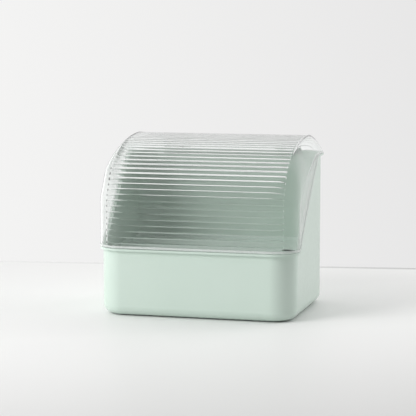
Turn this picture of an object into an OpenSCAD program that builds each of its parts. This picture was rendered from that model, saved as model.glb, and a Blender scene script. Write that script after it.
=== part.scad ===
// Dustproof flip-lid organizer: an open tub with sloping side panels, a clear
// grooved hood hinged along the back edge, and a lift-out tray at rim height.
// Inside this file y = 0 is the tub's front face; in_place() centres the object.

/* [Tub] */
// Outside width of the tub
tub_w = 330; // [260:5:400]
// Outside depth of the tub
tub_d = 255; // [235:1:290]
// Plan radius of the tub's four upright corners
corner_r = 40; // [28:1:60]
// Radius of the edge between the walls and the underside
edge_r = 16; // [8:1:24]
// Thickness of the walls
wall_t = 3; // [2.4:0.1:4]
// Thickness of the tub's floor
floor_t = 3.6; // [3:0.1:5]
// Height of the front rim above the table
rim_z = 112.5; // [90:0.5:125]
// Height of the side and back panels above the table
panel_z = 259; // [245:0.5:266]

/* [Side slope] */
// Distance from the front face to the foot of the slope
slope_foot = 35; // [28:1:55]
// Distance from the front face to the head of the slope
slope_head = 182; // [165:1:195]
// Radius of the slope's slightly bulging edge
slope_r = 1545; // [600:5:3000]
// Radius of the hollow at the foot of the slope
slope_foot_r = 14; // [8:1:20]
// Radius of the corner at the head of the slope
slope_head_r = 30; // [15:1:40]

/* [Rim flange] */
// How far the flange stands out from the walls
flange_out = 5; // [4:0.1:7]
// Thickness of the flange, square to the edge
flange_t = 5; // [3:0.1:7]

/* [Lid] */
// Thickness of the lid
lid_t = 2.4; // [1.8:0.1:3]
// Gap between the flange and the lid's edge
seam_gap = 0.3; // [0.2:0.05:0.6]
// Radius of the shoulders between the roof and the cheeks
shoulder_r = 20; // [12:1:24]
// Height at which the upright front starts to bend back
bend_z = 185.4; // [175:0.2:190]
// Radius of the lid's first, tight bend
brow_r = 54; // [50:1:60]
// Angle that the first bend turns through
brow_turn = 30; // [25:1:34]
// Radius of the second bend
slant_r = 142; // [130:1:150]
// Angle that the second bend turns through
slant_turn = 44; // [40:1:48]
// Radius of the nearly flat roof
roof_r = 364; // [330:2:400]
// Radius of the fall behind the roof
back_r = 108; // [100:1:120]
// How far the roof's back edge lies above the back panel
back_rise = 4; // [2:0.5:8]

/* [Lid grooves] */
// Distance between grooves along the lid's curve
groove_pitch = 10; // [7:0.5:16]
// Width of a groove
groove_w = 1.2; // [0.8:0.1:2]
// Depth of a groove
groove_h = 0.6; // [0.3:0.1:0.9]
// Plain band between the grooves' ends and the shoulders
groove_margin = 1; // [0.5:0.5:20]
// Plain band between the last groove and the back edge
groove_stop = 10; // [4:1:30]

/* [Lid lip] */
// Distance from the rear corners' rounding to the lip's ends
lip_in = 1; // [0.5:0.5:40]
// Thickness of the lip
lip_t = 1.8; // [1.4:0.1:2.4]
// How far the lip hangs below the back wall's edge
lip_drop = 8; // [4:0.5:10]
// Gap between the lip and the back wall
lip_gap = 0.9; // [0.6:0.1:1.5]

/* [Hinge] */
// Distance from the rear corners' rounding to the hinges' outer ends
hinge_in = 1.6; // [1:0.1:30]
// Outside radius of the knuckles
knuckle_r = 4.2; // [3.6:0.1:4.6]
// Length of the lid's knuckle
lid_knuckle_w = 22; // [14:1:30]
// Length of each of the tub's two knuckles
tub_knuckle_w = 12; // [8:1:16]
// Side gap between knuckles
knuckle_gap = 0.4; // [0.3:0.05:0.8]
// Radius of the hinge pin
pin_r = 1.5; // [1.2:0.1:2]
// Radial clearance of the pin in the lid's knuckle
pin_run_gap = 0.05; // [0.02:0.01:0.1]
// Radial clearance of the pin in the tub's knuckles
pin_seat_gap = 0.01; // [0.01:0.01:0.03]
// Radius of the pin's head
pin_head_r = 2.8; // [2.4:0.1:3.4]
// Thickness of the pin's head
pin_head_t = 1.4; // [1:0.1:2]
// Radial clearance of the pin's head in its recess
pin_head_gap = 0.3; // [0.2:0.05:0.5]
// Angle at which the open lid leans on its stops
open_angle = 110; // [100:1:115]
// Thickness of the stop heel on the lid's knuckle
heel_t = 3; // [2:0.1:3.6]

/* [Tray] */
// Height of the tray's underside above the table
tray_z = 100; // [80:0.5:103]
// Height of the tray
tray_h = 8; // [6:0.5:14]
// Thickness of the tray's rim
tray_t = 1.8; // [1.4:0.1:2.6]
// Thickness of the tray's floor
tray_floor_t = 2.2; // [1.8:0.1:3]
// Clearance between the tray and the walls
tray_gap = 1; // [0.6:0.1:2]
// Radius of the two finger holes
finger_r = 12; // [9:0.5:16]
// Distance from a finger hole's middle to the tray's end
finger_in = 30; // [24:1:50]
// Thickness of the ribs that carry the tray
rest_t = 4; // [2.5:0.5:6]
// How far the ribs stand out from the walls
rest_out = 5; // [4:0.5:8]
// Distance from the side walls to the ribs on the front and back walls
rest_in = 75; // [60:1:100]

/* [Feet and bumpers] */
// Radius of a foot
foot_r = 8; // [6:0.5:11]
// Thickness of a foot
foot_t = 3; // [2.4:0.1:4]
// How far a foot stands out below the tub
foot_out = 1.2; // [0.8:0.1:1.6]
// Distance from the walls to the middle of a foot
foot_in = 34; // [30:1:60]
// Gap between a foot and its pocket's wall
foot_gap = 0.15; // [0.1:0.05:0.3]
// Length of a bumper
bumper_w = 8; // [5:0.5:10]
// Width of a bumper
bumper_t = 1.8; // [1.2:0.1:2]
// Depth of the pocket that holds a bumper
bumper_deep = 1.6; // [1:0.1:2.4]
// Place of the bumpers round the front corners, from straight sideways
bumper_turn = 20; // [12:1:40]

/* [Hidden] */
$fn = 96;
FAR = 600;
FINE = 256;

// The slope: an arc through foot and head, with a rounded foot and head
slope_a = [slope_foot, rim_z];
slope_b = [slope_head, panel_z];
slope_len = norm(slope_b - slope_a);
slope_dir = (slope_b - slope_a) / slope_len;
slope_c = (slope_a + slope_b) / 2
    + [slope_dir[1], -slope_dir[0]] * sqrt(pow(slope_r, 2) - pow(slope_len / 2, 2));
head_c = [slope_c[0] - sqrt(pow(slope_r - slope_head_r, 2)
    - pow(panel_z - slope_head_r - slope_c[1], 2)), panel_z - slope_head_r];
foot_c = [slope_c[0] - sqrt(pow(slope_r + slope_foot_r, 2)
    - pow(rim_z + slope_foot_r - slope_c[1], 2)), rim_z + slope_foot_r];

// The lid's curve: centre, radius, first angle and last angle of each bend
function on(c, r, a) = c + r * [cos(a), sin(a)];
front_y = -flange_out;
back_y = tub_d + flange_out;
brow_c = [front_y + brow_r, bend_z];
brow_end = 180 - brow_turn;
slant_c = on(brow_c, brow_r - slant_r, brow_end);
slant_end = brow_end - slant_turn;
roof_c = on(slant_c, slant_r - roof_r, slant_end);
// The roof passes into the fall where that ends on the hood's back edge
back_edge = [back_y, panel_z + back_rise] - roof_c;
roof_end = atan2(back_edge[1], back_edge[0])
    + acos((pow(norm(back_edge), 2) + pow(roof_r - back_r, 2) - pow(back_r, 2))
        / (2 * norm(back_edge) * (roof_r - back_r)));
back_c = on(roof_c, roof_r - back_r, roof_end);
back_end = 20;
BENDS = [
    [brow_c, brow_r, 180, brow_end],
    [slant_c, slant_r, brow_end, slant_end],
    [roof_c, roof_r, slant_end, roof_end],
    [back_c, back_r, roof_end, back_end]
];
// Each bend laps under its flatter neighbours and stands a hair inside them, so
// that they join into one solid: extra inset, lap before and lap after, in turn
bend_step = 0.02;
bend_lap = 1;
LAPS = [[2, bend_lap, bend_lap], [1, 0, bend_lap], [0, 0, 0], [1, bend_lap, 0]];
lid_half_w = tub_w / 2 + flange_out;
groove_half_w = lid_half_w - shoulder_r - groove_margin;
groove_stop_a = acos((back_y - groove_stop - back_c[0]) / back_r);
groove_reach = corner_r / 4;

// The hinge line lies on the flange's rear top edge
axis_y = back_y;
axis_z = panel_z;
hinge_w = lid_knuckle_w + 2 * (tub_knuckle_w + knuckle_gap);
hinge_x = tub_w / 2 - corner_r - hinge_in - hinge_w / 2;
stop_gap = 0.1;
heel_stop_a = 235;
heel_rest_a = heel_stop_a + open_angle - 360;
heel_r = (flange_out - stop_gap - heel_t / 2 * sin(heel_stop_a - 180)) / cos(heel_stop_a - 180);
heel_reach = heel_r * cos(heel_rest_a) - heel_t / 2 * sin(heel_rest_a);

// The object's box is centred on the origin
overall_d = back_y + max(heel_reach, knuckle_r) - front_y;
origin_y = -(front_y + overall_d / 2);

tray_inset = wall_t + tray_gap;
lip_w = tub_w - 2 * (corner_r + lip_in);

module in_place() translate([0, origin_y, 0]) children();
module both_sides() for (side = [-1, 1]) scale_x(side) children();
module scale_x(side) if (side < 0) mirror([1, 0, 0]) children(); else children();

// Stands a drawing of y and z across the width
module across(w) translate([-w / 2, 0, 0]) rotate([90, 0, 90]) linear_extrude(w) children();

// Plan outline of the tub, moved outwards by out
module plan(out) {
    r = corner_r + out;
    for (x = [-1, 1], y = [corner_r, tub_d - corner_r])
        translate([x * (tub_w / 2 - corner_r), y]) circle(r);
    translate([-tub_w / 2 - out, corner_r]) square([tub_w + 2 * out, tub_d - 2 * corner_r]);
    translate([-tub_w / 2 + corner_r, -out]) square([tub_w - 2 * corner_r, tub_d + 2 * out]);
}

// Bottom strip of a wall-to-wall section, with rounded lower corners
module keel(length, e) {
    intersection() {
        union() {
            translate([e, 0]) square([length - 2 * e, e]);
            translate([e, e]) circle(e);
            translate([length - e, e]) circle(e);
        }
        square([length, e]);
    }
}

// Solid with the tub's plan moved inwards by inset and a rounded lower edge
module basin(inset, z) {
    e = edge_r - inset;
    r = corner_r - inset;
    w = tub_w - 2 * inset;
    d = tub_d - 2 * inset;
    translate([0, 0, z + e]) linear_extrude(FAR) plan(-inset);
    translate([0, inset, z]) across(w - 2 * r) keel(d, e);
    translate([-w / 2, tub_d - corner_r, z]) rotate([90, 0, 0])
        linear_extrude(d - 2 * r) keel(w, e);
    for (x = [-1, 1], y = [corner_r, tub_d - corner_r])
        translate([x * (tub_w / 2 - corner_r), y, z]) rotate_extrude() intersection() {
            translate([-r, 0]) keel(2 * r, e);
            square([r, e]);
        }
}

// Everything under the rim and the side panels' edge, lowered by drop
module below_edge(drop) {
    head = slope_head_r - drop;
    hollow = slope_foot_r + drop;
    t_head = slope_c + (head_c - slope_c) * (slope_r - drop) / (slope_r - slope_head_r);
    t_foot = slope_c + (foot_c - slope_c) * (slope_r - drop) / (slope_r + slope_foot_r);
    difference() {
        union() {
            difference() {
                intersection() {
                    translate(slope_c) circle(slope_r - drop, $fn = FINE);
                    translate([-FAR / 2, -FAR / 2]) square([FAR * 1.5, FAR / 2 + panel_z - drop]);
                }
                polygon([head_c, t_head, [t_head[0], panel_z + head], [head_c[0], panel_z + head]]);
            }
            translate(head_c) circle(head);
            translate([-FAR / 2, -FAR / 2]) square([FAR * 1.5, FAR / 2 + rim_z - drop]);
            polygon([foot_c, [foot_c[0], rim_z - drop - 1], [t_foot[0] + 1, rim_z - drop - 1], t_foot]);
        }
        translate(foot_c) circle(hollow);
    }
}

// Solid under the lid's outer face moved inwards by inset
module hood(inset) {
    half = lid_half_w - inset;
    r = shoulder_r - inset;
    intersection() {
        union() {
            linear_extrude(bend_z) {
                translate([-half, front_y + inset + r]) square([2 * half, tub_d]);
                translate([-half + r, front_y + inset]) square([2 * (half - r), tub_d]);
                for (x = [-1, 1]) translate([x * (half - r), front_y + inset + r]) circle(r);
            }
            for (i = [0 : len(BENDS) - 1]) {
                b = BENDS[i];
                lap = LAPS[i];
                bend(b[0], b[1] - inset, b[2] + lap[1], b[3] - lap[2], half, r, lap[0] * bend_step);
            }
        }
        linear_extrude(FAR) plan(flange_out - inset);
    }
}

// One bend of the hood: a section with round shoulders turned about a line across it
module bend(c, radius, first, last, half, r, step) {
    x0 = half - r;
    r0 = radius - r;
    translate([0, c[0], c[1]]) rotate([0, 90, 0]) rotate([0, 0, last + 90])
        rotate_extrude(angle = first - last) {
            translate([0, -half + step]) square([r0, 2 * (half - step)]);
            translate([0, -x0]) square([radius - step, 2 * x0]);
            for (x = [-1, 1]) translate([r0, x * x0]) circle(r - step);
        }
}

// One bar across the hood, square to its surface
module groove_bar(c, radius, a) {
    translate([-groove_half_w, c[0], c[1]]) rotate([a, 0, 0])
        translate([0, radius - groove_reach, -groove_w / 2])
            cube([2 * groove_half_w, groove_reach + 1, groove_w]);
}

// Bars at every groove: up the front, then round each bend in turn
function arc_len(b) = b[1] * (b[2] - b[3]) * PI / 180;
function len_before(i) = i == 0 ? bend_z - rim_z : len_before(i - 1) + arc_len(BENDS[i - 1]);
module groove_bars() {
    for (z = [rim_z + groove_pitch : groove_pitch : bend_z - 0.01])
        groove_bar([brow_c[0], z], brow_r, 180);
    for (i = [0 : len(BENDS) - 1]) {
        b = BENDS[i];
        start = len_before(i);
        first = ceil(start / groove_pitch) * groove_pitch;
        for (s = [first : groove_pitch : start + arc_len(b) - 0.01]) {
            a = b[2] - (s - start) / b[1] * 180 / PI;
            if (a > groove_stop_a) groove_bar(b[0], b[1], a);
        }
    }
}

// Cylinder on the hinge line, w long, with its middle at x
module on_axis(x, w, r) {
    translate([x - w / 2, axis_y, axis_z]) rotate([0, 90, 0]) cylinder(h = w, r = r);
}

tub_knuckle_x = (lid_knuckle_w + tub_knuckle_w) / 2 + knuckle_gap;
module tub_knuckles(r, extra) {
    for (x = [-1, 1]) on_axis(hinge_x + x * tub_knuckle_x, tub_knuckle_w + 2 * extra, r);
}

module heel() {
    inner = (pin_r + knuckle_r) / 2;
    w = lid_knuckle_w - heel_t;
    translate([hinge_x - w / 2, axis_y, axis_z]) rotate([heel_rest_a, 0, 0])
        translate([0, inner, -heel_t / 2]) cube([w, heel_r - inner, heel_t]);
}

// The flange is cut away behind the lid's knuckle, so that its heel can turn
module heel_notch() {
    w = lid_knuckle_w + 2 * knuckle_gap;
    translate([hinge_x - w / 2, tub_d, axis_z - flange_t - 1])
        cube([w, flange_out + 2 * knuckle_r, flange_t + 2]);
}

// Places for the bumpers on the rim, at the foot of the slopes
module at_bumper() {
    translate([tub_w / 2 - corner_r, corner_r, rim_z]) rotate([0, 0, -bumper_turn])
        translate([corner_r + flange_out - lid_t / 2, 0, 0]) children();
}

// Middle of a foot; side and end are -1 or 1
function foot_at(side, end) = [
    side * (tub_w / 2 - foot_in), tub_d / 2 + end * (tub_d / 2 - foot_in), 0
];

module tray_rests() {
    h = tray_z - foot_out - floor_t / 2;
    z = foot_out + floor_t / 2;
    for (x = [-1, 1], y = [wall_t / 2, tub_d - wall_t - rest_out])
        translate([x * (tub_w / 2 - rest_in) - rest_t / 2, y, z])
            cube([rest_t, rest_out + wall_t / 2, h]);
    for (x = [-1, 1])
        translate([x * (tub_w / 2 - (rest_out + wall_t) / 2) - (rest_out + wall_t / 2) / 2,
            (tub_d - rest_t) / 2, z])
            cube([rest_out + wall_t / 2, rest_t, h]);
}

module tub() color([0.80, 0.88, 0.83]) in_place() difference() {
    union() {
        difference() {
            union() {
                intersection() {
                    basin(0, foot_out);
                    across(FAR) below_edge(0);
                }
                intersection() {
                    linear_extrude(FAR) plan(flange_out);
                    across(FAR) difference() {
                        below_edge(0);
                        below_edge(flange_t);
                    }
                }
            }
            basin(wall_t, foot_out + floor_t);
            both_sides() heel_notch();
        }
        intersection() {
            tray_rests();
            basin(wall_t / 2, foot_out + floor_t / 2);
        }
        both_sides() tub_knuckles(knuckle_r, 0);
    }
    both_sides() {
        tub_knuckles(pin_r + pin_seat_gap, 0.01);
        on_axis(hinge_x + hinge_w / 2, 2 * pin_head_t, pin_head_r + pin_head_gap);
    }
    both_sides() at_bumper() translate([-bumper_t / 2, -bumper_w / 2, -bumper_deep])
        cube([bumper_t, bumper_w, bumper_deep + 1]);
    for (side = [-1, 1], end = [-1, 1])
        translate(foot_at(side, end)) cylinder(h = foot_t, r = foot_r + foot_gap);
}

module lid() color([0.93, 0.97, 0.96, 0.35]) in_place() difference() {
    union() {
        difference() {
            hood(0);
            difference() {
                groove_bars();
                hood(groove_h);
            }
            hood(lid_t);
            across(FAR) below_edge(-seam_gap);
            both_sides() tub_knuckles(knuckle_r + knuckle_gap, knuckle_gap);
        }
        intersection() {
            locating_lip();
            hood(lid_t / 2);
        }
        both_sides() {
            on_axis(hinge_x, lid_knuckle_w, knuckle_r);
            heel();
        }
    }
    both_sides() on_axis(hinge_x, lid_knuckle_w + 1, pin_r + pin_run_gap);
}

// Thin wall under the roof that hangs just inside the back panel
module locating_lip() {
    r = lip_drop / 2;
    translate([0, tub_d - wall_t - lip_gap, panel_z - lip_drop]) rotate([90, 0, 0])
        linear_extrude(lip_t) {
            translate([-lip_w / 2, r]) square([lip_w, back_r]);
            translate([-lip_w / 2 + r, 0]) square([lip_w - 2 * r, back_r]);
            for (x = [-1, 1]) translate([x * (lip_w / 2 - r), r]) circle(r);
        }
}

module inner_tray() color([0.86, 0.92, 0.88]) in_place() difference() {
    translate([0, 0, tray_z]) linear_extrude(tray_h) plan(-tray_inset);
    translate([0, 0, tray_z + tray_floor_t]) linear_extrude(tray_h) plan(-tray_inset - tray_t);
    for (x = [-1, 1])
        translate([x * (tub_w / 2 - tray_inset - finger_in), tub_d / 2, tray_z - 1])
            cylinder(h = tray_floor_t + 2, r = finger_r);
}

module hinge_pin(side) color([0.75, 0.76, 0.78]) in_place() scale_x(side) {
    on_axis(hinge_x, hinge_w, pin_r);
    on_axis(hinge_x + (hinge_w - pin_head_t) / 2, pin_head_t, pin_head_r);
}

module lid_bumper(side) color([0.70, 0.72, 0.71]) in_place() scale_x(side) at_bumper()
    translate([-bumper_t / 2, -bumper_w / 2, -bumper_deep])
        cube([bumper_t, bumper_w, bumper_deep + seam_gap]);

module foot(side, end) color([0.32, 0.34, 0.33]) in_place()
    translate(foot_at(side, end)) cylinder(h = foot_t, r = foot_r);

tub();
lid();
inner_tray();
hinge_pin(-1);  // hinge_pin_left
hinge_pin(1);  // hinge_pin_right
lid_bumper(-1);  // lid_bumper_left
lid_bumper(1);  // lid_bumper_right
foot(-1, -1);  // foot_front_left
foot(1, -1);  // foot_front_right
foot(-1, 1);  // foot_rear_left
foot(1, 1);  // foot_rear_right
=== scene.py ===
import math
import bmesh
import bpy
from mathutils import Matrix, Vector


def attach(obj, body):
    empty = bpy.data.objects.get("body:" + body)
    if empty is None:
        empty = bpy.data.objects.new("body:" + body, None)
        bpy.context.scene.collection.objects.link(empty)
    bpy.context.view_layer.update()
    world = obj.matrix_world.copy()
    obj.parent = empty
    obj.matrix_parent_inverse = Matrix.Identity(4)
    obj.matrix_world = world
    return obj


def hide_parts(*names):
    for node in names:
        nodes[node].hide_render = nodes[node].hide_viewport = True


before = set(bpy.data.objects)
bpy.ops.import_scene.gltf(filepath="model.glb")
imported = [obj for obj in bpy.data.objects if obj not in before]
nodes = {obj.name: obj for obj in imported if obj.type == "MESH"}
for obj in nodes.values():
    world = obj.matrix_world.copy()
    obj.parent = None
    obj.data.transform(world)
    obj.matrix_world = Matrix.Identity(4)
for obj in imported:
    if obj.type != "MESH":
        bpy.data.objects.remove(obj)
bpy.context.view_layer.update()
scene = bpy.context.scene
scene.view_settings.view_transform = "Standard"
frontY = -0.130785   # the tub's front face: the pieces' depths are measured from it
print("frame loaded:", len(nodes), "nodes")


cameraSetup = {"place": (0.7280, -2.7329, 0.5003), "turn": (83.314, 0.0, 15.13),
               "lens": 145.64, "sensor": 36}


def addCamera(setup):
    data = bpy.data.cameras.new("camera")
    data.lens = setup["lens"]
    data.sensor_width = setup["sensor"]
    camera = bpy.data.objects.new("camera", data)
    camera.location = setup["place"]
    camera.rotation_euler = [math.radians(a) for a in setup["turn"]]
    scene.collection.objects.link(camera)
    scene.camera = camera


addCamera(cameraSetup)
print("camera placed")


# shared helpers

meshSetup = {"weldWithin": 0.000002, "sharpAbove": 40, "flatWeight": 60}


def smoothStep(t):
    t = min(max(t, 0.0), 1.0)
    return t * t * (3 - 2 * t)


def wayAt(degrees):
    turn = math.radians(degrees)
    return math.cos(turn), math.sin(turn)


def weld(bm, verts=None):
    bmesh.ops.remove_doubles(bm, verts=verts or bm.verts[:], dist=meshSetup["weldWithin"])


def shapeSheet(bm, columns, rows, place):
    # a grid whose points are laid on the piece's own curves
    made = bmesh.ops.create_grid(bm, x_segments=columns - 1, y_segments=rows - 1, size=1)
    for i, vert in enumerate(made["verts"]):
        vert.co = place(i % columns, i // columns)
    return made["verts"]


def closeSheet(bm):
    # joins the sheet's two ends and fills what is left open
    weld(bm)
    bmesh.ops.holes_fill(bm, edges=[e for e in bm.edges if e.is_boundary], sides=0)


def edgesOf(block):
    return list({e for v in block["verts"] for e in v.link_edges})


def roundEdges(bm, edges, offset, segments=2, clamp=False):
    bmesh.ops.bevel(bm, geom=edges, offset=offset, segments=segments, affect="EDGES",
                    profile=0.5, material=-1, clamp_overlap=clamp)


def roundSharpEdges(bm, offset, segments=2, above=50):
    limit = math.radians(above)
    edges = [e for e in bm.edges if e.is_manifold and e.calc_face_angle() > limit]
    roundEdges(bm, edges, offset, segments, clamp=True)


def turnedPiece(bm, outline, centre, standing=False, steps=40):
    # outline: (along the axis, radius) pairs, spun round a line through centre
    centre = Vector(centre)
    axis, out = Vector((1, 0, 0)), Vector((0, 0, 1))
    if standing:
        axis, out = out, axis
    verts = [bm.verts.new(centre + axis * at + out * radius) for at, radius in outline]
    edges = [bm.edges.new(pair) for pair in zip(verts, verts[1:])]
    if outline[0][1] > 0 and outline[-1][1] > 0:
        edges.append(bm.edges.new((verts[-1], verts[0])))
    bmesh.ops.spin(bm, geom=verts + edges, cent=centre, axis=axis,
                   angle=math.tau, steps=steps, use_merge=True)
    weld(bm)


def addRod(bm, radius, length, steps, matrix):
    bmesh.ops.create_cone(bm, cap_ends=True, segments=steps, radius1=radius, radius2=radius,
                          depth=length, matrix=matrix)


def linkMesh(bm, name):
    mesh = bpy.data.meshes.new(name)
    bm.to_mesh(mesh)
    bm.free()
    made = bpy.data.objects.new(name, mesh)
    scene.collection.objects.link(made)
    return made


def makePiece(bm, name):
    # smooth all over, apart from the sharp edges
    bmesh.ops.recalc_face_normals(bm, faces=bm.faces[:])
    limit = math.radians(meshSetup["sharpAbove"])
    for face in bm.faces:
        face.smooth = True
    for edge in bm.edges:
        edge.smooth = not (edge.is_manifold and edge.calc_face_angle() > limit)
    return linkMesh(bm, name)


def applyModifiers(piece):
    ready = piece.evaluated_get(bpy.context.evaluated_depsgraph_get())
    mesh = bpy.data.meshes.new_from_object(ready)
    piece.modifiers.clear()
    piece.data = mesh


def cutAway(piece, cutter):
    cut = piece.modifiers.new("cut", "BOOLEAN")
    cut.operation = "DIFFERENCE"
    cut.solver = "EXACT"
    cut.object = cutter
    applyModifiers(piece)
    bpy.data.objects.remove(cutter)


def softenEdges(piece, width, above=50):
    soften = piece.modifiers.new("soft edges", "BEVEL")
    soften.width = width
    soften.segments = 2
    soften.limit_method = "ANGLE"
    soften.angle_limit = math.radians(above)
    applyModifiers(piece)


def keepFlatsFlat(piece):
    weigh = piece.modifiers.new("weighted normals", "WEIGHTED_NORMAL")
    weigh.keep_sharp = True
    weigh.weight = meshSetup["flatWeight"]
    applyModifiers(piece)


# the sloping edge that the tub and the hood share, in depth and height

slope = {
    "rimZ": 0.1125, "panelZ": 0.259,
    "foot": 0.035, "head": 0.182,
    "radius": 1.545, "footRadius": 0.014, "headRadius": 0.030,
}


def slopeCentres():
    foot = Vector((slope["foot"], slope["rimZ"]))
    head = Vector((slope["head"], slope["panelZ"]))
    chord = head - foot
    side = Vector((chord.y, -chord.x)).normalized()
    middle = (foot + head) / 2 + side * math.sqrt(slope["radius"] ** 2 - chord.length_squared / 4)
    headZ = slope["panelZ"] - slope["headRadius"]
    footZ = slope["rimZ"] + slope["footRadius"]
    headY = middle.x - math.sqrt((slope["radius"] - slope["headRadius"]) ** 2 - (headZ - middle.y) ** 2)
    footY = middle.x - math.sqrt((slope["radius"] + slope["footRadius"]) ** 2 - (footZ - middle.y) ** 2)
    return middle, Vector((headY, headZ)), Vector((footY, footZ))


slopeMiddle, slopeHead, slopeFoot = slopeCentres()


def edgeHeight(y, drop=0.0):
    # height of the edge at depth y, moved square to itself by drop
    radius = slope["radius"] - drop
    footEnd = slopeMiddle + (slopeFoot - slopeMiddle) * radius / (slope["radius"] + slope["footRadius"])
    headStart = slopeMiddle + (slopeHead - slopeMiddle) * radius / (slope["radius"] - slope["headRadius"])
    if y <= slopeFoot.x:
        return slope["rimZ"] - drop
    if y <= footEnd.x:
        return slopeFoot.y - math.sqrt((slope["footRadius"] + drop) ** 2 - (y - slopeFoot.x) ** 2)
    if y <= headStart.x:
        return slopeMiddle.y + math.sqrt(radius ** 2 - (y - slopeMiddle.x) ** 2)
    if y <= slopeHead.x:
        return slopeHead.y + math.sqrt((slope["headRadius"] - drop) ** 2 - (y - slopeHead.x) ** 2)
    return slope["panelZ"] - drop


# tub

tubShape = {
    "width": 0.330, "depth": 0.255, "corner": 0.040,
    "underside": 0.0012, "bottomRadius": 0.016, "floor": 0.0036, "wall": 0.003,
    "flangeOut": 0.004999, "flangeThick": 0.0035, "edgeRound": 0.0013,
    "frontPoint": 0.07, "backPoint": 0.045, "notchStep": 0.00005,
    "ribFromSide": 0.075, "ribWide": 0.004, "ribOut": 0.005, "ribTop": 0.100,
    "ribLowAtWall": 0.0125, "ribLowInside": 0.0065, "ribRound": 0.0006,
}
hinge = {
    "x": 0.100, "y": 0.260 + frontY, "z": 0.259, "knuckle": 0.0042, "chamfer": 0.0004,
    "lidWidth": 0.022, "tubWidth": 0.012, "gap": 0.0004,
    "pin": 0.0015, "tubPlay": 0.00001, "lidPlay": 0.00005,
}


def tubOutline(size):
    # points round the tub from above: place, way out of the wall, and whether a hinge sits there
    flatX = size["width"] / 2 - size["corner"]
    rearY = size["depth"] - size["corner"]
    # closest together where the edge bends at the foot and the head of the slope
    frontTurns = [-90 + 7.5 * k for k in range(9)] + [-25, -20] + [-16.5 + 1.5 * k for k in range(12)]
    sideY = [0.045 + 0.005 * k for k in range(24)] + [0.1625 + 0.0025 * k for k in range(14)] + [0.2, 0.207]
    half = [(0, 0, 0, -1, False), (size["frontPoint"], 0, 0, -1, False)]
    for turn in frontTurns:
        outX, outY = wayAt(turn)
        half.append((flatX + size["corner"] * outX, size["corner"] * (1 + outY), outX, outY, False))
    half += [(size["width"] / 2, y, 1, 0, False) for y in sideY]
    for k in range(13):
        outX, outY = wayAt(7.5 * k)
        half.append((flatX + size["corner"] * outX, rearY + size["corner"] * outY, outX, outY, False))
    notch = hinge["lidWidth"] / 2 + hinge["gap"]
    step = size["notchStep"]
    for x, inNotch in [(notch + step, False), (notch - step, True), (0, True),
                       (-notch + step, True), (-notch - step, False)]:
        half.append((hinge["x"] + x, size["depth"], 0, 1, inNotch))
    half += [(size["backPoint"], size["depth"], 0, 1, False), (0, size["depth"], 0, 1, False)]
    other = [(-x, y, -outX, outY, inNotch) for x, y, outX, outY, inNotch in reversed(half[1:-1])]
    return half + other + half[:1]


def tubRings(size):
    # each ring: how far out of the wall it lies, and its height at depth y
    rings = []
    turns = [math.radians(15 * k) for k in range(7)]
    for turn in turns:
        rings.append((-size["bottomRadius"] * (1 - math.sin(turn)),
                      lambda y, t=turn: size["underside"] + size["bottomRadius"] * (1 - math.cos(t))))
    low = size["underside"] + size["bottomRadius"]
    for share in (0.3, 0.6, 0.85):
        rings.append((0, lambda y, f=share: low + f * (edgeHeight(y, size["flangeThick"]) - low)))
    rings.append((0, lambda y: edgeHeight(y, size["flangeThick"])))
    rings.append((size["flangeOut"], lambda y: edgeHeight(y, size["flangeThick"])))
    rings.append((size["flangeOut"], lambda y: edgeHeight(y)))
    rings.append((-size["wall"], lambda y: edgeHeight(y)))
    inner = size["bottomRadius"] - size["wall"]
    floorZ = size["underside"] + size["floor"]
    for share in (0.8, 0.5, 0.2):
        rings.append((-size["wall"],
                      lambda y, f=share: floorZ + inner + f * (edgeHeight(y) - floorZ - inner)))
    for turn in reversed(turns):
        rings.append((-size["wall"] - inner * (1 - math.sin(turn)),
                      lambda y, t=turn: floorZ + inner * (1 - math.cos(t))))
    return rings


def buildTub(size):
    outline, rings = tubOutline(size), tubRings(size)
    bm = bmesh.new()

    def place(i, j):
        x, y, outX, outY, inNotch = outline[i]
        out, height = rings[j]
        if inNotch:
            out = min(out, 0)
        x, y = x + outX * out, y + outY * out
        return Vector((x, y + frontY, height(y)))

    shapeSheet(bm, len(outline), len(rings), place)
    closeSheet(bm)
    bmesh.ops.recalc_face_normals(bm, faces=bm.faces[:])
    roundSharpEdges(bm, size["edgeRound"], segments=3, above=55)
    addRibs(bm, size)
    return makePiece(bm, "tubShell")


def addRibs(bm, size):
    # six upright ribs inside, which carry the tray
    half = size["wall"] / 2
    deep = size["ribOut"] + half
    low = size["ribLowInside"]
    ribX = size["width"] / 2 - size["ribFromSide"]
    spots = [(side * ribX, half + deep / 2, size["ribWide"], deep) for side in (-1, 1)]
    spots += [(side * ribX, size["depth"] - half - deep / 2, size["ribWide"], deep) for side in (-1, 1)]
    spots += [(side * (size["width"] / 2 - half - deep / 2), size["depth"] / 2, deep, size["ribWide"])
              for side in (-1, 1)]
    for x, y, wide, long in spots:
        spot = Matrix.Translation((x, y + frontY, (low + size["ribTop"]) / 2))
        shape = Matrix.Diagonal((wide, long, size["ribTop"] - low, 1))
        rib = bmesh.ops.create_cube(bm, size=1, matrix=spot @ shape)
        for vert in rib["verts"]:   # the foot follows the tub's rounded bottom
            inWall = abs(vert.co.x) > size["width"] / 2 - size["wall"] or not (
                size["wall"] < vert.co.y - frontY < size["depth"] - size["wall"])
            if inWall and vert.co.z < size["ribLowAtWall"]:
                vert.co.z = size["ribLowAtWall"]
        roundEdges(bm, edgesOf(rib), size["ribRound"])


def tubKnuckleMiddles():
    reach = (hinge["lidWidth"] + hinge["tubWidth"]) / 2 + hinge["gap"]
    return [side * hinge["x"] + way * reach for side in (-1, 1) for way in (-1, 1)]


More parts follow.
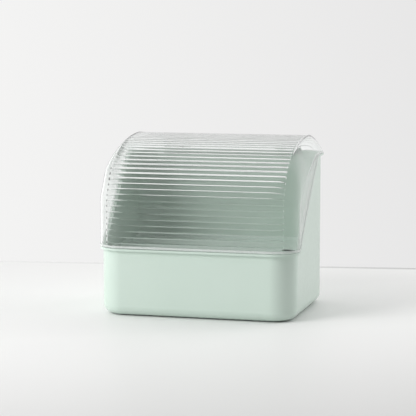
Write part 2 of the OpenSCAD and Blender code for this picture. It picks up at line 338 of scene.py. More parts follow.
def addKnuckle(bm, middle, wide, bore):
    start, end = middle - wide / 2, middle + wide / 2
    radius, soft = hinge["knuckle"], hinge["chamfer"]
    outline = [(start, bore), (end, bore), (end, radius - soft), (end - soft, radius),
               (start + soft, radius), (start, radius - soft)]
    part = bmesh.new()
    turnedPiece(part, outline, (0, hinge["y"], hinge["z"]))
    mesh = bpy.data.meshes.new("knuckle")
    part.to_mesh(mesh)
    part.free()
    bm.from_mesh(mesh)
    bpy.data.meshes.remove(mesh)


def buildTubKnuckles():
    bm = bmesh.new()
    for middle in tubKnuckleMiddles():
        addKnuckle(bm, middle, hinge["tubWidth"], hinge["pin"] + hinge["tubPlay"])
    return makePiece(bm, "tubKnuckles")


tub = buildTub(tubShape)
keepFlatsFlat(tub)
tubKnuckles = buildTubKnuckles()
print("tub built:", len(tub.data.polygons), "faces")


# hood

hoodShape = {
    "front": -0.005, "back": 0.260, "halfWidth": 0.169999, "corner": 0.045, "thickness": 0.0024,
    "seamGap": 0.0003, "footRound": 0.0006,
    # the curve of the front and the roof
    "bendZ": 0.1854, "browRadius": 0.054, "browTurn": 30, "slantRadius": 0.142, "slantTurn": 44,
    "roofRadius": 0.364, "backRadius": 0.108, "backRise": 0.004,
    # the shoulders, and how they get lower down the back
    "shoulderWide": 0.0205, "shoulderTall": 0.050, "narrowOver": 0.040,
    "rearShoulder": 0.032, "rearFrom": 0.060, "rearOver": 0.125,
    "crease": 1.3, "creaseFrom": 0.020, "creaseOver": 0.080,
    "fallShare": 0.98, "fallLeast": 0.0002, "fallSpare": 0.004, "leastRadius": 0.0003,
    # the grooves and the sunk panel that they lie in
    "groovePitch": 0.010, "grooveHalf": 0.0034, "grooveDepth": 0.0013, "panelSink": 0.0005,
    "grooveEnd": 0.149, "endFade": 0.0010, "endFromSide": 0.006, "endFromWall": 0.0032,
    "grooveStop": 0.010, "stopSpare": 0.001, "grooveRows": 6, "backRows": 0.002, "backRoom": 0.003,
    "frontHalf": 0.0018, "frontShallow": 0.31, "widenFrom": 0.103, "widenOver": 0.022,
    "roofShallow": 0.88, "shallowFrom": 0.040, "shallowOver": 0.040,
    # the rim along the seam
    "rimLow": 0.0020, "rimTall": 0.0046, "rimStep": 0.0003, "rimOut": 0.0004, "halvings": 14,
}


def hoodBends(size):
    # centre, radius, first angle and last angle of each bend of the hood's curve
    def step(centre, radius, nextRadius, angle):
        return centre + (radius - nextRadius) * Vector(wayAt(angle))

    brow = Vector((size["front"] + size["browRadius"], size["bendZ"]))
    browEnd = 180 - size["browTurn"]
    slant = step(brow, size["browRadius"], size["slantRadius"], browEnd)
    slantEnd = browEnd - size["slantTurn"]
    roof = step(slant, size["slantRadius"], size["roofRadius"], slantEnd)
    edge = Vector((size["back"], slope["panelZ"] + size["backRise"])) - roof
    less = size["roofRadius"] - size["backRadius"]
    roofEnd = math.degrees(math.atan2(edge.y, edge.x) + math.acos(
        (edge.length_squared + less ** 2 - size["backRadius"] ** 2) / (2 * edge.length * less)))
    back = step(roof, size["roofRadius"], size["backRadius"], roofEnd)
    backEnd = math.degrees(math.acos((size["back"] - back.x) / size["backRadius"]))
    return [(brow, size["browRadius"], 180, browEnd), (slant, size["slantRadius"], browEnd, slantEnd),
            (roof, size["roofRadius"], slantEnd, roofEnd), (back, size["backRadius"], roofEnd, backEnd)]


bends = hoodBends(hoodShape)
bendLengths = [radius * math.radians(first - last) for _, radius, first, last in bends]
upright = hoodShape["bendZ"] - slope["rimZ"]
roofStart = upright + sum(bendLengths[:2])
fallStart = upright + sum(bendLengths[:3])
hoodLength = upright + sum(bendLengths)


def hoodCurve(s):
    # depth, height and outward angle at a distance s up the hood's curve
    if s <= upright:
        return hoodShape["front"], slope["rimZ"] + s, math.pi
    s -= upright
    for (centre, radius, first, _), length in zip(bends, bendLengths):
        if s <= length + 1e-9 or centre == bends[-1][0]:   # a hair of room for rounding
            angle = math.radians(first) - s / radius
            return centre.x + radius * math.cos(angle), centre.y + radius * math.sin(angle), angle
        s -= length


def widened(size, s):
    # 0 on the front, 1 on the slant and the roof
    return smoothStep((s - size["widenFrom"]) / size["widenOver"])


def grooveWidth(size, s):
    # half the width of the groove at s: narrow on the front, wide on the slant and the roof
    return size["frontHalf"] + (size["grooveHalf"] - size["frontHalf"]) * widened(size, s)


def hoodRows(size):
    # distances along the curve, fine enough for the waves of the grooves
    rows = [size["seamGap"], size["rimLow"], size["rimTall"], size["rimTall"] + size["rimStep"]]
    fine = size["grooveRows"]
    middle = size["groovePitch"]
    while middle < hoodLength - size["grooveStop"]:
        half = grooveWidth(size, middle)
        beside = (size["groovePitch"] / 2 + half) / 2
        rows += [middle - size["groovePitch"] / 2, middle - beside]
        rows += [middle + half * k / fine for k in range(-fine, fine + 1)]
        rows.append(middle + beside)
        middle += size["groovePitch"]
    while rows[-1] < hoodLength - size["backRoom"]:
        rows.append(rows[-1] + size["backRows"])
    return rows + [hoodLength, None]   # None: down the back to the seam


def grooveCut(size, s, x):
    # how far the surface lies in: the panel's sink and the groove's wave
    pitch = size["groovePitch"]
    if s < pitch / 2 or s > hoodLength - size["grooveStop"] + size["stopSpare"]:
        return 0.0
    fade = 1 - smoothStep((abs(x) - size["grooveEnd"] + size["endFade"]) / size["endFade"])
    off = abs((s + pitch / 2) % pitch - pitch / 2)
    half = grooveWidth(size, round(s / pitch) * pitch)
    wave = math.cos(math.pi / 2 * min(off / half, 1)) ** 2
    # shallower on the front and on the roof than on the slant between
    deep = 1 - size["frontShallow"] * (1 - widened(size, s))
    pastBrow = s - upright - bendLengths[0]
    deep -= size["roofShallow"] * smoothStep((pastBrow - size["shallowFrom"]) / size["shallowOver"])
    return (size["panelSink"] + size["grooveDepth"] * deep * wave) * fade


# the columns of one half: across the grooved band, round the shoulder, down to the rim and the seam
hoodColumns = [("band", f) for f in (0, 0.27, 0.54, 0.8, 0.85, 0.9, 0.95, 0.98, 0.992, 0.996, 1.0)]
hoodColumns += [("round", f) for f in (0.03, 0.07, 0.12, 0.2, 0.3, 0.4, 0.5, 0.6, 0.7, 0.8, 0.9, 1.0)]
hoodColumns += [("side", 0.9), ("rim", 0.82), ("rimLow", 0.4), ("foot", 0)]


def hoodHalf(size, y, less):
    # half the hood's width at depth y, moved in by less
    rear = size["back"] - size["corner"]
    if y <= rear:
        return size["halfWidth"] - less
    corner = size["corner"] - less
    return size["halfWidth"] - size["corner"] + math.sqrt(max(corner ** 2 - (y - rear) ** 2, 0))


def hoodShoulder(size, y):
    # width, height and roundness (2 is an ellipse, less has a crease) of the shoulder at depth y
    share = smoothStep((y - size["front"]) / size["narrowOver"])
    rearShare = smoothStep((y - size["rearFrom"]) / size["rearOver"])
    wide = size["corner"] + (size["shoulderWide"] - size["corner"]) * share
    tall = size["corner"] + (size["shoulderTall"] - size["corner"]) * share
    tall += (size["rearShoulder"] - size["shoulderTall"]) * rearShare
    power = 2 + (size["crease"] - 2) * smoothStep((y - size["creaseFrom"]) / size["creaseOver"])
    return wide, tall, power


def cheekPoint(size, s, kind, share, inset, end, backY):
    # a point on the line from the seam up to end, where the shoulder stops
    footY = backY
    if s <= roofStart:   # the front's and the slant's lines are spread out along the seam
        lastY, _, angle = hoodCurve(roofStart)
        lastY -= math.cos(angle) * size["shoulderTall"]
        firstY = size["front"] + size["corner"]
        footY = firstY + (s - size["seamGap"]) / (roofStart - size["seamGap"]) * (lastY - firstY)
    foot = Vector((hoodHalf(size, footY, inset), footY, edgeHeight(footY, -size["seamGap"])))
    if kind == "foot":
        return foot
    heights = {"side": size["rimTall"] + size["rimStep"],
               "rim": size["rimTall"], "rimLow": size["rimLow"]}
    under, over = 0.0, share
    for _ in range(size["halvings"]):   # up the line until the rim's height is met
        between = (under + over) / 2
        point = foot.lerp(end, between)
        if point.z < edgeHeight(point.y, -heights[kind]):
            under = between
        else:
            over = between
    point = foot.lerp(end, over)
    return Vector((hoodHalf(size, point.y, inset), point.y, point.z))


def hoodPoint(size, s, kind, share, inset):
    # the point at s along the curve (None: at the back's seam) in one column, moved in by inset
    down = s is None
    s = hoodLength if down else s
    seamZ = slope["panelZ"] + size["seamGap"]
    outerY, outerZ, angle = hoodCurve(s)
    y = min(outerY - math.cos(angle) * inset, size["back"] - inset)
    z = outerZ - math.sin(angle) * inset
    inY, inZ = -math.cos(angle), -math.sin(angle)
    half = hoodHalf(size, y, inset)
    wide, tall, power = hoodShoulder(size, outerY)
    if s >= fallStart:   # the shoulder falls straight down and gets lower towards the seam
        inY, inZ = 0.0, -1.0
        tall = min(tall, size["fallShare"] * (outerZ - seamZ) + size["fallLeast"])
        wide = min(wide, tall + size["fallSpare"])
    wide, tall = max(wide - inset, size["leastRadius"]), max(tall - inset, size["leastRadius"])
    flat = half - wide
    outerHalf = hoodHalf(size, outerY, 0)
    bandEnd = min(size["grooveEnd"], outerHalf - size["endFromSide"], half - size["endFromWall"])
    if kind == "band":
        x = share * bandEnd
        across = max(0.0, x - flat) / wide
        deep = tall * (1 - (1 - across ** power) ** (1 / power))
    else:
        start = math.asin((max(0.0, bandEnd - flat) / wide) ** (power / 2))
        turn = start + (math.pi / 2 - start) * (share if kind == "round" else 1.0)
        x = flat + wide * math.sin(turn) ** (2 / power)
        deep = tall * (1 - max(math.cos(turn), 0) ** (2 / power))
    deepY, deepZ = inY * deep, inZ * deep
    if inset < size["thickness"] and not down:
        cut = grooveCut(size, s, x)
        deepY, deepZ = deepY - math.cos(angle) * cut, deepZ - math.sin(angle) * cut
    y, z = y + deepY, z + deepZ
    if kind in ("side", "rim", "rimLow", "foot"):
        end = hoodPoint(size, None if down else s, "round", 1.0, inset)
        return cheekPoint(size, s, kind, share, inset, end, y)
    if s <= upright:   # the upright front stands on the seam
        low = edgeHeight(y, -size["seamGap"])
        z = low + (s - size["seamGap"]) / (upright - size["seamGap"]) * (size["bendZ"] - low)
    return Vector((x, y, seamZ if down else z))


def buildHood(size):
    # two sheets, outer and inner, that are joined along the seam
    rows = hoodRows(size)
    middle = len(hoodColumns) - 1
    columns = 2 * middle + 1
    bm = bmesh.new()
    rim = bm.verts.layers.float.new("rim")

    def onRim(i, j):
        kind = hoodColumns[abs(i - middle)][0]
        return kind in ("rim", "rimLow", "foot") or rows[j] is None or rows[j] <= size["rimTall"]

    def atSeam(i, j):
        return hoodColumns[abs(i - middle)][0] == "foot" or rows[j] is None or rows[j] < size["rimLow"]

    def addLayer(inside):
        def place(i, j):
            side = i - middle
            kind, share = hoodColumns[abs(side)]
            inset = 0.0 if onRim(i, j) else size["rimOut"]
            if inside:
                inset = size["thickness"]
            point = hoodPoint(size, rows[j], kind, share, inset)
            return Vector((math.copysign(point.x, side) if side else 0.0, point.y + frontY, point.z))

        verts = shapeSheet(bm, columns, len(rows), place)
        for k, vert in enumerate(verts):
            i, j = k % columns, k // columns
            vert[rim] = 1.0 if onRim(i, j) and not atSeam(i, j) else 0.0
        weld(bm, verts)

    addLayer(False)
    addLayer(True)
    bmesh.ops.bridge_loops(bm, edges=[e for e in bm.edges if e.is_boundary])
    return makePiece(bm, "hoodShell")


hood = buildHood(hoodShape)
print("hood built:", len(hood.data.polygons), "faces")


lipShape = {"half": 0.124, "front": 0.2493, "back": 0.2511, "low": 0.251, "high": 0.2690,
            "cornerRound": 0.004, "edgeRound": 0.0003}
heelShape = {"wide": 0.019, "thick": 0.003, "from": 0.00285, "to": 0.0064, "turn": -15, "round": 0.0004}


def addLip(bm, lip):
    middleZ = (lip["low"] + lip["high"]) / 2
    spot = Matrix.Translation((0, lip["front"] + frontY, middleZ))
    stand = Matrix.Rotation(math.radians(90), 4, "X")
    shape = Matrix.Diagonal((2 * lip["half"], lip["high"] - lip["low"], 1, 1))
    plate = bmesh.ops.create_grid(bm, x_segments=1, y_segments=1, size=0.5, matrix=spot @ stand @ shape)
    lower = [v for v in plate["verts"] if v.co.z < middleZ]
    bmesh.ops.bevel(bm, geom=lower, offset=lip["cornerRound"], segments=6, affect="VERTICES",
                    profile=0.5, material=-1)
    grown = bmesh.ops.extrude_face_region(bm, geom=bm.faces[:], use_keep_orig=True)
    bmesh.ops.translate(bm, vec=(0, lip["back"] - lip["front"], 0),
                        verts=[v for v in grown["geom"] if isinstance(v, bmesh.types.BMVert)])
    roundSharpEdges(bm, lip["edgeRound"])


def addHeel(bm, x, heel):
    # the block on a lid knuckle that meets the back wall when the lid is open
    spot = Matrix.Translation((x, hinge["y"], hinge["z"]))
    lean = Matrix.Rotation(math.radians(heel["turn"]), 4, "X")
    out = Matrix.Translation((0, (heel["from"] + heel["to"]) / 2, 0))
    shape = Matrix.Diagonal((heel["wide"], heel["to"] - heel["from"], heel["thick"], 1))
    block = bmesh.ops.create_cube(bm, size=1, matrix=spot @ lean @ out @ shape)
    roundEdges(bm, edgesOf(block), heel["round"])


def buildHoodFittings(lip, heel):
    # the lip inside the back wall, the lid's two knuckles and their stop heels
    bm = bmesh.new()
    addLip(bm, lip)
    for side in (-1, 1):
        addKnuckle(bm, side * hinge["x"], hinge["lidWidth"], hinge["pin"] + hinge["lidPlay"])
        addHeel(bm, side * hinge["x"], heel)
    return makePiece(bm, "hoodFittings")


def buildKnuckleRecess():
    # the room for the tub's knuckles that is cut out of the hood
    turn = Matrix.Rotation(math.radians(90), 4, "Y")
    bm = bmesh.new()
    for middle in tubKnuckleMiddles():
        spot = Matrix.Translation((middle, hinge["y"], hinge["z"]))
        addRod(bm, hinge["knuckle"] + hinge["gap"], hinge["tubWidth"] + 2 * hinge["gap"],
               steps=48, matrix=spot @ turn)
    return makePiece(bm, "knuckleRecess")


cutAway(hood, buildKnuckleRecess())
softenEdges(hood, hoodShape["footRound"], above=60)
keepFlatsFlat(hood)
hoodFittings = buildHoodFittings(lipShape, heelShape)
print("hood fittings built")


# tray, pins, bumpers and feet

trayShape = {
    "halfWidth": 0.161, "front": 0.004, "back": 0.251, "corner": 0.036, "low": 0.100, "high": 0.108,
    "rim": 0.0018, "floor": 0.0022, "round": 0.0005,
    "fingerRadius": 0.012, "fingerX": 0.131, "fingerY": 0.1275,
}
pinShape = {"from": 0.0766, "to": 0.1234, "radius": 0.0015,
            "headRadius": 0.0028, "headThick": 0.0014, "round": 0.0003}
bumperShape = {"size": (0.0018, 0.008, 0.0019), "sink": 0.0016, "turn": 20, "outTo": 0.0438,
               "round": 0.0004}
footShape = {"x": 0.131, "y": (0.034, 0.221), "radius": 0.008, "thick": 0.003, "round": 0.0006,
             "dish": 0.0052, "dishDeep": 0.0004, "dishEdge": 0.0005, "cut": 0.3}


def buildTray(size):
    outline = []
    for k, (sideX, sideY) in enumerate(((1, -1), (1, 1), (-1, 1), (-1, -1))):
        middleX = sideX * (size["halfWidth"] - size["corner"])
        middleY = size["back"] - size["corner"] if sideY > 0 else size["front"] + size["corner"]
        outline += [(middleX, middleY, *wayAt(-90 + 90 * k + 7.5 * step)) for step in range(13)]
    outline.append(outline[0])
    rings = [(0, size["low"]), (0, size["high"]), (-size["rim"], size["high"]),
             (-size["rim"], size["low"] + size["floor"])]
    bm = bmesh.new()

    def place(i, j):
        x, y, outX, outY = outline[i]
        out, z = rings[j]
        reach = size["corner"] + out
        return Vector((x + outX * reach, y + outY * reach + frontY, z))

    shapeSheet(bm, len(outline), len(rings), place)
    closeSheet(bm)
    made = makePiece(bm, "innerTray")
    holes = bmesh.new()
    for side in (-1, 1):
        spot = Matrix.Translation((side * size["fingerX"], size["fingerY"] + frontY,
                                   size["low"] + size["floor"] / 2))
        addRod(holes, size["fingerRadius"], 3 * size["floor"], steps=64, matrix=spot)
    cutAway(made, makePiece(holes, "fingerHoles"))
    softenEdges(made, size["round"])
    keepFlatsFlat(made)
    return made


def buildPin(size, side, name):
    start, end, radius, soft = size["from"], size["to"], size["radius"], size["round"]
    neck, head = end - size["headThick"], size["headRadius"]
    outline = [(start, 0), (start, radius - soft), (start + soft, radius), (neck, radius),
               (neck, head - soft), (neck + soft, head), (end - 2 * soft, head),
               (end - soft / 2, head - soft), (end, head - 3 * soft), (end, 0)]
    bm = bmesh.new()
    turnedPiece(bm, [(side * x, out) for x, out in outline], (0, hinge["y"], hinge["z"]))
    return makePiece(bm, name)


def buildBumper(size, side, name):
    wide, long, high = size["size"]
    bm = bmesh.new()
    bmesh.ops.create_cube(bm, size=1, matrix=Matrix.Diagonal((wide, long, high, 1)))
    roundEdges(bm, bm.edges[:], size["round"], segments=3)
    spot = Matrix.Translation((tubShape["width"] / 2 - tubShape["corner"], tubShape["corner"] + frontY,
                               slope["rimZ"] - size["sink"] + high / 2))
    turn = Matrix.Rotation(math.radians(-size["turn"]), 4, "Z")
    out = Matrix.Translation((size["outTo"], 0, 0))
    bmesh.ops.transform(bm, matrix=spot @ turn @ out, verts=bm.verts[:])
    bmesh.ops.scale(bm, vec=(side, 1, 1), verts=bm.verts[:])
    return makePiece(bm, name)


def buildFoot(size, x, y, name):
    radius, soft, top = size["radius"], size["round"], size["thick"]
    outline = [(size["dishDeep"], 0), (size["dishDeep"], size["dish"]),
               (0, size["dish"] + size["dishEdge"]), (0, radius - soft),
               (soft * size["cut"], radius - soft * size["cut"]), (soft, radius),
               (top, radius), (top, 0)]
    bm = bmesh.new()
    turnedPiece(bm, outline, (x, y + frontY, 0), standing=True, steps=48)
    return makePiece(bm, name)


tray = buildTray(trayShape)
pins = {"hinge_pin_left": buildPin(pinShape, -1, "hingePinLeft"),
        "hinge_pin_right": buildPin(pinShape, 1, "hingePinRight")}
bumpers = {"lid_bumper_left": buildBumper(bumperShape, -1, "bumperLeft"),
           "lid_bumper_right": buildBumper(bumperShape, 1, "bumperRight")}
feet = {}
for end, y in zip(("front", "rear"), footShape["y"]):
    for side, word in ((-1, "left"), (1, "right")):
        feet["foot_" + end + "_" + word] = buildFoot(footShape, side * footShape["x"], y,
                                                     "foot" + end.title() + word.title())
print("tray, pins, bumpers and feet built")


# materials

def startMaterial(name):
    material = bpy.data.materials.new(name)
    material.use_nodes = True
    tree = material.node_tree
    return material, tree, tree.nodes["Principled BSDF"]


def noiseOn(tree, scale, detail, rough=0.5, stretch=None):
    place = tree.nodes.new("ShaderNodeTexCoord")
    noise = tree.nodes.new("ShaderNodeTexNoise")
    noise.inputs["Scale"].default_value = scale
    noise.inputs["Detail"].default_value = detail
    noise.inputs["Roughness"].default_value = rough
    source = place.outputs["Object"]
    if stretch:
        mapping = tree.nodes.new("ShaderNodeMapping")
        mapping.inputs["Scale"].default_value = stretch
        tree.links.new(source, mapping.inputs["Vector"])
        source = mapping.outputs["Vector"]
    tree.links.new(source, noise.inputs["Vector"])
    return noise.outputs["Fac"]


def spread(tree, source, low, high, fromLow=0.35, fromHigh=0.65):
    node = tree.nodes.new("ShaderNodeMapRange")
    node.inputs["From Min"].default_value = fromLow
    node.inputs["From Max"].default_value = fromHigh
    node.inputs["To Min"].default_value = low
    node.inputs["To Max"].default_value = high
    tree.links.new(source, node.inputs["Value"])
    return node.outputs["Result"]


def blendColours(tree, source, first, second):
    mix = tree.nodes.new("ShaderNodeMix")
    mix.data_type = "RGBA"
    mix.inputs["A"].default_value = (*first, 1)
    mix.inputs["B"].default_value = (*second, 1)
    tree.links.new(source, mix.inputs["Factor"])
    return mix.outputs["Result"]


def leanTo(tree, colour, share, other):
    # from a colour already mixed towards a fixed one
    mix = tree.nodes.new("ShaderNodeMix")
    mix.data_type = "RGBA"
    mix.inputs["B"].default_value = (*other, 1)
    tree.links.new(share, mix.inputs["Factor"])
    tree.links.new(colour, mix.inputs["A"])
    return mix.outputs["Result"]


def along(tree, source, way):
    # how far a point lies along a direction
    node = tree.nodes.new("ShaderNodeVectorMath")
    node.operation = "DOT_PRODUCT"
    node.inputs[1].default_value = way
    tree.links.new(source, node.inputs[0])
    return node.outputs["Value"]


def combine(tree, operation, first, second):
    node = tree.nodes.new("ShaderNodeMath")
    node.operation = operation
    tree.links.new(first, node.inputs[0])
    tree.links.new(second, node.inputs[1])
    return node.outputs["Value"]


def colourShader(tree, kind, colour):
    node = tree.nodes.new(kind)
    node.inputs["Color"].default_value = (*colour, 1)
    return node.outputs[0]


def mixShaders(tree, first, second, share=None, fixedShare=0.5):
    mix = tree.nodes.new("ShaderNodeMixShader")
    mix.inputs["Fac"].default_value = fixedShare
    if share:
        tree.links.new(share, mix.inputs["Fac"])
    tree.links.new(first, mix.inputs[1])
    tree.links.new(second, mix.inputs[2])
    return mix.outputs["Shader"]


def bumpFrom(tree, shader, parts):
    # parts: (height source, distance, strength), the coarsest first
    last = None
    for source, distance, strength in parts:
        bump = tree.nodes.new("ShaderNodeBump")
        bump.inputs["Distance"].default_value = distance
        bump.inputs["Strength"].default_value = strength
        tree.links.new(source, bump.inputs["Height"])
        if last:
            tree.links.new(last, bump.inputs["Normal"])
        last = bump.outputs["Normal"]
    tree.links.new(last, shader.inputs["Normal"])


# a noise is its scale, detail, roughness and stretch; relief: noise, distance and strength
mintFinish = {
    "colours": ((0.610, 0.725, 0.652), (0.622, 0.735, 0.664)), "patches": (7, 2),
    "smooth": 0.20, "dull": 0.26, "grain": (160, 4, 0.6),
    "relief": (((14, 1), 0.0003, 0.08), ((420, 2), 0.00002, 0.12)),
}
trayFinish = {
    "colours": ((0.70, 0.80, 0.745), (0.73, 0.825, 0.775)), "patches": (12, 2),
    "smooth": 0.34, "dull": 0.48, "grain": (240, 4),
    "relief": (((900, 3), 0.00005, 0.5),),
}
brushed = (60, 4, 0.6, (1, 40, 40))   # streaks along the pins
steelFinish = {
    "colours": ((0.58, 0.58, 0.59), (0.70, 0.70, 0.71)), "patches": brushed, "metallic": 1,
    "smooth": 0.20, "dull": 0.38, "grain": brushed,
    "relief": ((brushed, 0.00002, 0.5),),
}
siliconeFinish = {
    "colours": ((0.70, 0.74, 0.72), (0.76, 0.79, 0.775)), "patches": (500, 3),
    "smooth": 0.35, "dull": 0.5, "grain": (900, 3),
    "relief": (((1800, 3), 0.00006, 0.6),),
}
rubberFinish = {
    "colours": ((0.030, 0.032, 0.031), (0.050, 0.053, 0.051)), "patches": (500, 3),
    "smooth": 0.6, "dull": 0.8, "grain": (900, 3),
    "relief": (((1800, 3), 0.00006, 0.6),),
}


def solidMaterial(name, finish):
    # a colour with faint patches, an uneven gloss and a fine relief
    material, tree, shader = startMaterial(name)
    patches = spread(tree, noiseOn(tree, *finish["patches"]), 0, 1)
    tree.links.new(blendColours(tree, patches, *finish["colours"]), shader.inputs["Base Color"])
    grain = spread(tree, noiseOn(tree, *finish["grain"]), finish["smooth"], finish["dull"])
    tree.links.new(grain, shader.inputs["Roughness"])
    shader.inputs["Metallic"].default_value = finish.get("metallic", 0)
    bumpFrom(tree, shader, [(noiseOn(tree, *noise), distance, strength)
                            for noise, distance, strength in finish["relief"]])
    return material


clearFinish = {
    "tint": (0.995, 1.0, 0.998), "index": 1.49, "grain": (90, 3), "smooth": 0.0, "dull": 0.02,
    "relief": ((9, 0), 0.00004, 0.01),
    "deep": (0.10, 0.22, 0.18), "density": 14,
    "shade": (0.75, 0.755, 0.75),
    "frost": (0.86, 0.90, 0.88), "frostMatt": 0.8, "rimFrost": 0.6, "rimFade": (0.5, 0.9),
}


def clearPlastic(finish):
    material, tree, shader = startMaterial("clearPlastic")
    shader.inputs["Base Color"].default_value = (*finish["tint"], 1)
    shader.inputs["Transmission Weight"].default_value = 1
    shader.inputs["IOR"].default_value = finish["index"]
    grain = spread(tree, noiseOn(tree, *finish["grain"]), finish["smooth"], finish["dull"])
    tree.links.new(grain, shader.inputs["Roughness"])
    noise, distance, strength = finish["relief"]
    bumpFrom(tree, shader, [(noiseOn(tree, *noise), distance, strength)])
    # the rim is frosted
    glow = colourShader(tree, "ShaderNodeBsdfTranslucent", finish["frost"])
    matt = colourShader(tree, "ShaderNodeBsdfDiffuse", finish["frost"])
    frost = mixShaders(tree, glow, matt, fixedShare=finish["frostMatt"])
    rim = tree.nodes.new("ShaderNodeAttribute")
    rim.attribute_name = "rim"
    rimShare = spread(tree, rim.outputs["Fac"], 0, finish["rimFrost"], *finish["rimFade"])
    rimmed = mixShaders(tree, shader.outputs["BSDF"], frost, rimShare)
    # light that only has to pass goes straight through, a little dimmed
    passing = colourShader(tree, "ShaderNodeBsdfTransparent", finish["shade"])
    path = tree.nodes.new("ShaderNodeLightPath")
    straight = combine(tree, "MAXIMUM", path.outputs["Is Shadow Ray"], path.outputs["Is Diffuse Ray"])
    out = tree.nodes["Material Output"]
    tree.links.new(mixShaders(tree, rimmed, passing, straight), out.inputs["Surface"])
    depth = tree.nodes.new("ShaderNodeVolumeAbsorption")
    depth.inputs["Color"].default_value = (*finish["deep"], 1)
    depth.inputs["Density"].default_value = finish["density"]
    tree.links.new(depth.outputs["Volume"], out.inputs["Volume"])
    return material


def paint(piece, material, slot):
    piece.data.materials.clear()
    piece.data.materials.append(material)


mint = solidMaterial("mintPlastic", mintFinish)
clear = clearPlastic(clearFinish)
for piece in (tub, tubKnuckles):
    paint(piece, mint, "mint_plastic")
    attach(piece, "tub")
for piece in (hood, hoodFittings):
    paint(piece, clear, "clear_plastic")
    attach(piece, "lid")
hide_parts("tub")
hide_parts("lid")
steel = solidMaterial("pinSteel", steelFinish)
silicone = solidMaterial("bumperSilicone", siliconeFinish)
rubber = solidMaterial("footRubber", rubberFinish)
paint(tray, solidMaterial("trayPlastic", trayFinish), "tray_plastic")
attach(tray, "inner_tray")
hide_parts("inner_tray")
for group, material, slot in ((pins, steel, "pin_steel"), (bumpers, silicone, "bumper_silicone"),
                              (feet, rubber, "foot_rubber")):
    for node, piece in group.items():
        paint(piece, material, slot)
        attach(piece, "tub")
        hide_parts(node)
print("materials set")


# table, wall and light

tableSetup = {
    "farEdge": ((-0.5520, 0.3959), (0.2707, 0.5180)), "reach": (6, 4), "rough": 0.45, "shine": 0.3,
    # painted shade on the table: darker copies of its colour towards the back left and towards the front,
    # and a painted thin shadow colour for the line near the back edge
    "colour": (0.876, 0.876, 0.873), "far": (0.832, 0.832, 0.829), "front": (0.60, 0.60, 0.598),
    "farWay": (-0.7435, 0.8345, 0), "farSpan": (0.08, 0.26),
    "frontWay": (-0.454, 0.913, 0), "frontSpan": (-0.24, -0.93),
    "line": (0.55, 0.55, 0.548), "lineFromEdge": 0.018, "lineSoft": 0.006,
    "lineFaint": 0.15, "lineSpan": (-0.50, 0.25),
}


def addTable(setup):
    (leftX, leftY), (rightX, rightY) = setup["farEdge"]
    turn = math.atan2(rightY - leftY, rightX - leftX)
    spot = Matrix.Translation(((leftX + rightX) / 2, (leftY + rightY) / 2, 0))
    swing = Matrix.Rotation(turn, 4, "Z")
    shape = Matrix.Diagonal((*setup["reach"], 1, 1))
    towardsFront = Matrix.Translation((0, -1, 0))
    bm = bmesh.new()
    bmesh.ops.create_grid(bm, x_segments=8, y_segments=6, size=1,
                          matrix=spot @ swing @ shape @ towardsFront)
    table = linkMesh(bm, "table")
    material, tree, shader = startMaterial("tableTop")
    place = tree.nodes.new("ShaderNodeTexCoord").outputs["Object"]
    # painted shade: a little darker towards the back left, much darker towards the front, most at the front
    # right
    far = spread(tree, along(tree, place, setup["farWay"]), 0, 1, *setup["farSpan"])
    front = spread(tree, along(tree, place, setup["frontWay"]), 0, 1, *setup["frontSpan"])
    # a thin shadow where the table meets the wall, stronger to the right
    outward = (-math.sin(turn), math.cos(turn), 0)
    lineAt = Vector(outward).dot(Vector((leftX, leftY, 0))) - setup["lineFromEdge"]
    line = spread(tree, along(tree, place, outward), 0, 1,
                  lineAt - setup["lineSoft"], lineAt + setup["lineSoft"])
    strength = spread(tree, along(tree, place, (1, 0, 0)), setup["lineFaint"], 1, *setup["lineSpan"])
    colour = blendColours(tree, far, setup["colour"], setup["far"])
    colour = leanTo(tree, colour, front, setup["front"])
    colour = leanTo(tree, colour, combine(tree, "MULTIPLY", line, strength), setup["line"])
    tree.links.new(colour, shader.inputs["Base Color"])
    shader.inputs["Roughness"].default_value = setup["rough"]
    shader.inputs["Specular IOR Level"].default_value = setup["shine"]
    table.data.materials.append(material)


roomSetup = {
    "wallLeft": (0.910, 0.908, 0.902), "wallRight": (0.800, 0.796, 0.796),
    "throughLeft": (1.06, 1.06, 1.055), "throughRight": (0.97, 0.97, 0.968), "wallSpan": (-0.40, -0.12),
    "besideWindow": (0.10, 0.10, 0.10), "besideSpan": (-0.42, -0.44),
    "windowLight": (1.0, 1.0, 0.99), "windowSeen": (1.70, 1.70, 1.69), "windowSpan": (-0.54, -0.58),
    "ceiling": (1.0, 1.0, 0.99), "ceilingSpan": (0.35, 0.80),
    "dimLight": (0.19, 0.19, 0.188), "dimSeen": (0.50, 0.50, 0.495),
    "dimWay": (0.62, -0.785, 0.0), "dimSpan": (0.0, 0.70),
}


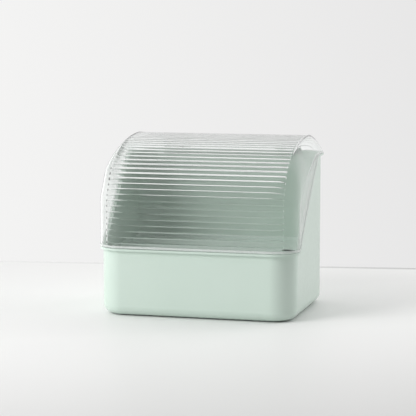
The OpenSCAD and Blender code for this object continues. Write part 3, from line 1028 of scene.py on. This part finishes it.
def setWorld(setup):
    # a pale wall behind, a window on the left, a pale ceiling and a dimmer room towards the front right
    world = bpy.data.worlds.new("room")
    scene.world = world
    world.use_nodes = True
    tree = world.node_tree
    tree.nodes.clear()
    out = tree.nodes.new("ShaderNodeOutputWorld")
    place = tree.nodes.new("ShaderNodeTexCoord").outputs["Generated"]

    def share(way, span):
        return spread(tree, along(tree, place, way), 0, 1, *setup[span])

    across = share((1, 0, 0), "wallSpan")
    wall = blendColours(tree, across, setup["wallLeft"], setup["wallRight"])
    wallThrough = blendColours(tree, across, setup["throughLeft"], setup["throughRight"])
    besideWall = leanTo(tree, wall, share((1, 0, 0), "besideSpan"), setup["besideWindow"])
    window = share((1, 0, 0), "windowSpan")
    above = share((0, 0, 1), "ceilingSpan")
    dim = share(setup["dimWay"], "dimSpan")

    def background(colour, dimColour="dimSeen"):
        node = tree.nodes.new("ShaderNodeBackground")
        colour = leanTo(tree, colour, above, setup["ceiling"])
        tree.links.new(leanTo(tree, colour, dim, setup[dimColour]), node.inputs["Color"])
        return node.outputs[0]

    seen = background(wall)
    through = background(wallThrough)
    mirrored = background(leanTo(tree, besideWall, window, setup["windowSeen"]))
    last = background(leanTo(tree, besideWall, window, setup["windowLight"]), "dimLight")
    path = tree.nodes.new("ShaderNodeLightPath")
    for ray, shown in (("Glossy", mirrored), ("Transmission", through), ("Camera", seen)):
        last = mixShaders(tree, last, shown, path.outputs["Is " + ray + " Ray"])
    tree.links.new(last, out.inputs["Surface"])


lamps = {
    "window": {"place": (-2.4, 0.1, 1.1), "aim": (0, 0, 0.15), "size": (2.6, 1.9), "power": 2},
    "frontLight": {"place": (-1.9, -2.0, 1.5), "aim": (0, 0, 0.1), "size": (1.6, 1.6), "power": 55},
    "rightBounce": {"place": (1.7, 1.7, 0.9), "aim": (0, 0, 0.1), "size": (1.6, 1.2), "power": 20},
}


def addLamp(name, setup):
    # an area lamp that isn't mirrored in the plastic or seen through it
    data = bpy.data.lights.new(name, "AREA")
    data.shape = "RECTANGLE"
    data.size, data.size_y = setup["size"]
    data.energy = setup["power"]
    lamp = bpy.data.objects.new(name, data)
    lamp.visible_glossy = False
    lamp.visible_transmission = False
    lamp.location = setup["place"]
    way = Vector(setup["aim"]) - Vector(setup["place"])
    lamp.rotation_euler = way.to_track_quat("-Z", "Y").to_euler()
    scene.collection.objects.link(lamp)


addTable(tableSetup)
setWorld(roomSetup)
for name, setup in lamps.items():
    addLamp(name, setup)
print("stage lit")
